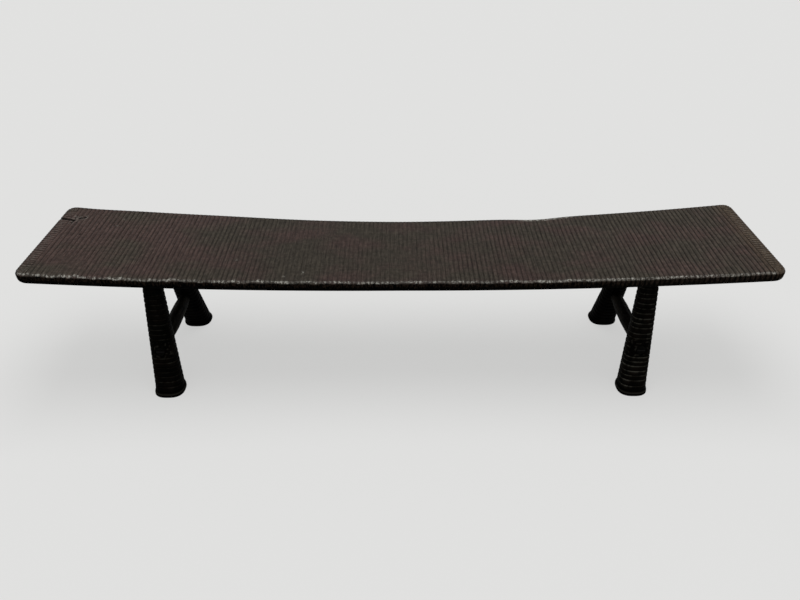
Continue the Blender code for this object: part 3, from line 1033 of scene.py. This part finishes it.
class Nodes:
    """Builds the nodes of one tree."""

    def __init__(self, owner):
        owner.use_nodes = True
        self.tree = owner.node_tree

    def node(self, kind, inputs=None, **settings):
        made = self.tree.nodes.new(kind)
        for key, value in settings.items():
            setattr(made, key, value)
        return self.fill(made, inputs or {})

    def fill(self, node, inputs):
        """Joins a node's inputs, by name or number, to outputs, or sets them to plain values."""
        for key, source in inputs.items():
            socket = node.inputs[key]
            if hasattr(source, "links"):
                self.tree.links.new(source, socket)
            else:
                socket.default_value = source
        return node

    def math(self, operation, first, second):
        return self.node("ShaderNodeMath", {0: first, 1: second}, operation=operation).outputs["Value"]

    def mix_seen(self, output, light_kind, seen_kind, share):
        """Lays a share of one shader, for the camera, mirrors and glass, over another that carries light."""
        self.tree.nodes.clear()
        path = self.node("ShaderNodeLightPath").outputs
        seeing = path["Is Camera Ray"]
        for name in ("Is Glossy Ray", "Is Transmission Ray"):
            seeing = self.math("MAXIMUM", seeing, path[name])
        light, seen = self.node(light_kind), self.node(seen_kind)
        shares = {0: self.math("MULTIPLY", seeing, share), 1: light.outputs[0], 2: seen.outputs[0]}
        self.node(output, {"Surface": self.node("ShaderNodeMixShader", shares).outputs[0]})
        return light, seen


class Shader(Nodes):
    """Builds the nodes of one material, with patterns in the object's own space."""

    def __init__(self, name):
        self.material = bpy.data.materials.new(name)
        super().__init__(self.material)
        self.principled = self.tree.nodes["Principled BSDF"]
        self.place = self.node("ShaderNodeTexCoord").outputs["Object"]

    def noise(self, cells, detail=4.0, roughness=0.55):
        """Noise with a number of cells to the metre along each axis."""
        stretch = self.node("ShaderNodeMapping", {"Vector": self.place, "Scale": cells})
        place = stretch.outputs["Vector"]
        inputs = {"Vector": place, "Scale": 1.0, "Detail": detail, "Roughness": roughness}
        return self.node("ShaderNodeTexNoise", inputs).outputs["Fac"]

    def axis(self, name):
        """Place along one axis of the object."""
        return self.node("ShaderNodeSeparateXYZ", {"Vector": self.place}).outputs[name]

    def attribute(self, name):
        return self.node("ShaderNodeAttribute", attribute_name=name).outputs["Fac"]

    def remap(self, value, span, first=0.0, last=1.0):
        """First where a value is at the start of a span, last at its end, and a smooth step between."""
        inputs = {"Value": value, "From Min": span[0], "From Max": span[1], "To Min": first, "To Max": last}
        return self.node("ShaderNodeMapRange", inputs, interpolation_type="SMOOTHSTEP").outputs["Result"]

    def mix(self, share, first, second, blend_type="MIX"):
        """Mix of two colours, by the numbers of the node's sockets for colours."""
        inputs = {0: share, 6: first, 7: second}
        return self.node("ShaderNodeMix", inputs, data_type="RGBA", blend_type=blend_type).outputs[2]

    def shade(self, colour, value, span, darkest, lightest):
        """A colour made darker or lighter by a value."""
        level = self.remap(value, span, darkest, lightest)
        grey = self.node("ShaderNodeCombineColor", dict.fromkeys(("Red", "Green", "Blue"), level))
        return self.mix(1.0, colour, grey.outputs["Color"], "MULTIPLY")

    def finish(self, colour, roughness, specular, height, bump):
        relief = self.node("ShaderNodeBump", {"Height": height, "Distance": bump})
        self.fill(self.principled, {
            "Base Color": colour,
            "Roughness": roughness,
            "Specular IOR Level": specular,
            "Normal": relief.outputs["Normal"],
        })
        return self.material


# Materials

# Browns of the upper face, lightened with part of the wax's sheen painted in
SEAT_BROWN, SEAT_OLIVE, SEAT_TAN = srgb(63, 50, 46), srgb(57, 52, 45), srgb(68, 56, 44)
# Pale of wear and of the painted highlights along the arris and beside the cracks
SEAT_WEAR_AND_GLINT = srgb(152, 150, 142)
# Black of stain and painted shade, and the brown of its streaks
STAIN_AND_SHADE, BLACK_STREAK = srgb(2, 2, 2), srgb(32, 25, 20)
LEG_BROWN = srgb(6, 5, 4)
# Pale of the painted highlights on the legs' rings and of the scars
WEAR_AND_GLINT_OLIVE, WEAR_AND_GLINT_BROWN, WEAR_AND_GLINT_GREY = srgb(54, 51, 41), srgb(60, 47, 38), srgb(64, 62, 56)
STRETCHER_DARK, STRETCHER_BROWN = srgb(9, 8, 6), srgb(17, 15, 12)
WEDGE_DARK, WEDGE_BROWN = srgb(4, 3, 3), srgb(10, 8, 7)
# Places along the seat where its colour changes
LEFT_BROWN = (-1.0, -0.3)
RIGHT_TAN = (1.02, 1.08)
LIGHTER_ENDS = (0.3, 0.9)
# Spans of the noise, nearly whole and in its middle, and the height of the tool's strokes beside the grain's
NOISE_SPAN = (0.3, 0.7)
NOISE_MIDDLE = (0.35, 0.65)
STROKE_HEIGHT = 0.8


def seat_material(name, specular, rough_valley, rough_crest):
    """Waxed teak of the seat: brown on its upper face with part of its sheen painted in, painted shade in the
    rib valleys, painted highlights along the arris, and black edges of stain and painted shade.
    """
    shader = Shader(name)
    broad = shader.noise((5, 9, 9), detail=3.0)
    grain = shader.noise((14, 130, 130), detail=5.0, roughness=0.6)
    strokes = shader.noise((330, 24, 120), detail=3.0)
    mottle = shader.noise((110, 90, 110), detail=3.0, roughness=0.6)
    specks = shader.noise((230, 230, 230), detail=2.0)
    crest, dark, wear_and_glint = [shader.attribute(label) for label in Surface.LAYERS]
    x = shader.axis("X")
    slow = shader.remap(x, LEFT_BROWN, first=-0.08, last=0.05)
    olive = shader.remap(shader.math("ADD", broad, slow), span=(0.36, 0.64))
    colour = shader.mix(olive, SEAT_BROWN, SEAT_OLIVE)
    colour = shader.mix(shader.remap(x, RIGHT_TAN, last=0.7), colour, SEAT_TAN)
    colour = shader.shade(colour, shader.math("ABSOLUTE", x, 0.0), LIGHTER_ENDS, darkest=0.98, lightest=1.12)
    colour = shader.shade(colour, grain, NOISE_SPAN, darkest=0.90, lightest=1.10)
    colour = shader.shade(colour, strokes, NOISE_SPAN, darkest=0.70, lightest=1.28)
    colour = shader.shade(colour, mottle, NOISE_SPAN, darkest=0.75, lightest=1.22)
    # Painted shade in the rib valleys
    colour = shader.shade(colour, crest, span=(0.0, 0.8), darkest=0.30, lightest=1.05)
    # Pale of chips, and painted highlights on the arris and crack flanks, broken by specks
    glint = shader.math("MULTIPLY", wear_and_glint, shader.remap(specks, span=(0.40, 0.62), last=1.75))
    colour = shader.mix(glint, colour, SEAT_WEAR_AND_GLINT)
    # Black of stain and painted shade on the edges and in cracks and pits, with brown streaks
    streaks = shader.math("MULTIPLY", strokes, shader.remap(crest, span=(0.0, 0.9), first=0.6, last=1.1))
    black = shader.mix(shader.remap(streaks, span=(0.40, 0.65)), STAIN_AND_SHADE, BLACK_STREAK)
    colour = shader.mix(dark, colour, black)
    rough = shader.remap(crest, span=(0.0, 1.0), first=rough_valley, last=rough_crest)
    rough = shader.math("ADD", rough, shader.remap(broad, NOISE_SPAN, first=-0.04, last=0.08))
    height = shader.math("ADD", grain, shader.math("MULTIPLY", strokes, STROKE_HEIGHT))
    return shader.finish(colour, rough, specular, height, bump=0.0004)


def leg_material(name, specular, roughness):
    """Near black stain on the carved legs, darkened as painted shade, with painted highlights on their rings'
    upper edges.
    """
    shader = Shader(name)
    grain = shader.noise((120, 120, 14), detail=5.0, roughness=0.6)
    broad = shader.noise((30, 30, 22), detail=3.0)
    wear_and_glint = shader.attribute("wear_and_glint")
    # Near black of the stain, darkened as painted shade
    colour = shader.mix(shader.remap(broad, NOISE_MIDDLE), STAIN_AND_SHADE, LEG_BROWN)
    colour = shader.shade(colour, grain, NOISE_SPAN, darkest=0.7, lightest=1.3)
    # Painted shade in the ring valleys
    colour = shader.shade(colour, shader.attribute("crest"), span=(0.0, 0.9), darkest=0.4, lightest=1.1)
    # Painted highlight on the rings' upper edges, and pale scars on the patch
    tint = shader.mix(shader.remap(broad, span=(0.42, 0.58)), WEAR_AND_GLINT_OLIVE, WEAR_AND_GLINT_BROWN)
    pale = shader.mix(shader.remap(wear_and_glint, span=(0.05, 0.15)), tint, WEAR_AND_GLINT_GREY)
    colour = shader.mix(wear_and_glint, colour, pale)
    rough = shader.math("ADD", shader.remap(grain, NOISE_SPAN, first=-0.06, last=0.06), roughness)
    return shader.finish(colour, rough, specular, grain, bump=0.0004)


def stretcher_material(name, specular):
    """Near black stain on bars hewn along the grain."""
    shader = Shader(name)
    grain = shader.noise((130, 45, 130), detail=5.0, roughness=0.7)
    broad = shader.noise((40, 14, 40), detail=3.0)
    colour = shader.mix(shader.remap(broad, NOISE_MIDDLE), STRETCHER_DARK, STRETCHER_BROWN)
    colour = shader.shade(colour, grain, NOISE_MIDDLE, darkest=0.1, lightest=2.0)
    # Painted shade in the hewn hollows, darkest on the tenons
    colour = shader.shade(colour, shader.attribute("crest"), span=(0.1, 0.9), darkest=0.3, lightest=1.5)
    rough = shader.remap(grain, NOISE_SPAN, first=0.5, last=0.7)
    return shader.finish(colour, rough, specular, grain, bump=0.0006)


def wedge_material(name, specular):
    """Sawn end grain of the wedges."""
    shader = Shader(name)
    grain = shader.noise((300, 60, 300), detail=4.0, roughness=0.6)
    colour = shader.mix(shader.remap(grain, NOISE_MIDDLE), WEDGE_DARK, WEDGE_BROWN)
    rough = shader.remap(grain, NOISE_SPAN, first=0.55, last=0.75)
    return shader.finish(colour, rough, specular, grain, bump=0.0003)


# Floor, light and camera

# Share of the floor's colour that its shadows leave alone, and brightness of a white floor by each light
BACKGROUND = srgb(224, 224, 223)
FLOOR_HALF = 20
SHADOW_LIFT = 0.72
FILL_LIGHT = 0.45
LAMP_LIGHT = 0.60
LAMP_HEIGHT = 2.8
LAMP_RADIUS = 0.95
LAMP_BACK = 0.2
# Watts of a point lamp that lights a white surface to 1 from a metre away
LAMP_UNIT = 4 * math.pi**2
# Camera, with its turn down from level and its turn to the left
SENSOR_MILLIMETRES = 36
LENS_MILLIMETRES = 27.036
CAMERA_PLACE = (-0.0105, -1.5746, 1.4648)
CAMERA_DOWN = 0.6644
CAMERA_LEFT = -0.0050


def make_floor():
    material = bpy.data.materials.new("floor")
    kinds = ("ShaderNodeBsdfDiffuse", "ShaderNodeEmission")
    for shader in Nodes(material).mix_seen("ShaderNodeOutputMaterial", *kinds, SHADOW_LIFT):
        shader.inputs["Color"].default_value = BACKGROUND
    half = FLOOR_HALF
    mesh = bpy.data.meshes.new("floor")
    mesh.from_pydata([(-half, -half, 0), (half, -half, 0), (half, half, 0), (-half, half, 0)], [], [range(4)])
    mesh.materials.append(material)
    floor = add_object("floor", mesh)


def make_light():
    """Even fill from all round and one wide soft lamp over the bench, as bright far away as near it."""
    world = bpy.data.worlds.new("studio")
    bpy.context.scene.world = world
    kinds = ("ShaderNodeBackground", "ShaderNodeBackground")
    light, seen = Nodes(world).mix_seen("ShaderNodeOutputWorld", *kinds, 1.0)
    light.inputs["Color"].default_value = (1, 1, 1, 1)
    light.inputs["Strength"].default_value = FILL_LIGHT
    seen.inputs["Color"].default_value = BACKGROUND
    lamp = bpy.data.lights.new("overhead", "POINT")
    lamp.energy = LAMP_UNIT * LAMP_LIGHT
    lamp.shadow_soft_size = LAMP_RADIUS
    nodes = Nodes(lamp)
    length = nodes.node("ShaderNodeLightPath").outputs["Ray Length"]
    strength = nodes.math("DIVIDE", length, LAMP_HEIGHT)
    falloff = nodes.node("ShaderNodeLightFalloff", {"Strength": strength})
    nodes.fill(nodes.tree.nodes["Emission"], {"Strength": falloff.outputs["Constant"]})
    add_object("overhead", lamp).location = (0, LAMP_BACK, LAMP_HEIGHT)


def make_camera():
    data = bpy.data.cameras.new("camera")
    data.sensor_fit = "HORIZONTAL"
    data.sensor_width = SENSOR_MILLIMETRES
    data.lens = LENS_MILLIMETRES
    camera = add_object("camera", data)
    camera.location = CAMERA_PLACE
    camera.rotation_euler = (math.pi / 2 - CAMERA_DOWN, 0, CAMERA_LEFT)
    bpy.context.scene.camera = camera


# Assembly

def place_piece(piece, node):
    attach(piece, "root")
    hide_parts(node)


make_floor()
make_light()
make_camera()
bpy.context.scene.view_settings.view_transform = "Standard"

seat_woods = [
    seat_material("seat_top_teak", specular=0.06, rough_valley=0.60, rough_crest=0.42),
    seat_material("seat_arris_teak", specular=0.15, rough_valley=0.55, rough_crest=0.28),
    seat_material("seat_edge_teak", specular=0.004, rough_valley=0.65, rough_crest=0.50),
]
leg_wood = leg_material("leg_teak", specular=0.004, roughness=0.45)
stretcher_wood = stretcher_material("stretcher_teak", specular=0.02)
wedge_wood = wedge_material("wedge_teak", specular=0.06)

seat = make_seat(seat_woods)
cut(seat, make_sockets())
blacken_sockets(seat)
place_piece(seat, "seat_plank")
for side_name, side in SIDES.items():
    x = side * LEG_X
    seed = STRETCHER_SEEDS[side_name]
    bar = make_bar("hewn_stretcher_" + side_name, x, 0.0, -TENON_RECESS, stretcher_wood, HEWN_DEPTH, seed)
    place_piece(bar, "stretcher_" + side_name)
    for row_name, row in ROWS.items():
        corner = row_name + "_" + side_name
        cut(bar, grown("stretcher_wedge_" + corner))
        leg = make_leg("ringed_leg_" + corner, side, row, leg_wood, RING_GLINT[corner], LEG_SEEDS[corner])
        cut(leg, make_bar("mortise", x, FIT_GAP, STRETCHER_RADIUS, leg_wood, 0.0, 0))
        cut(leg, grown("leg_wedge_" + corner))
        place_piece(leg, "leg_" + corner)
        for kind in ("leg_wedge_", "stretcher_wedge_"):
            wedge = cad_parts[kind + corner]
            wedge.data.materials.clear()
            wedge.data.materials.append(wedge_wood)
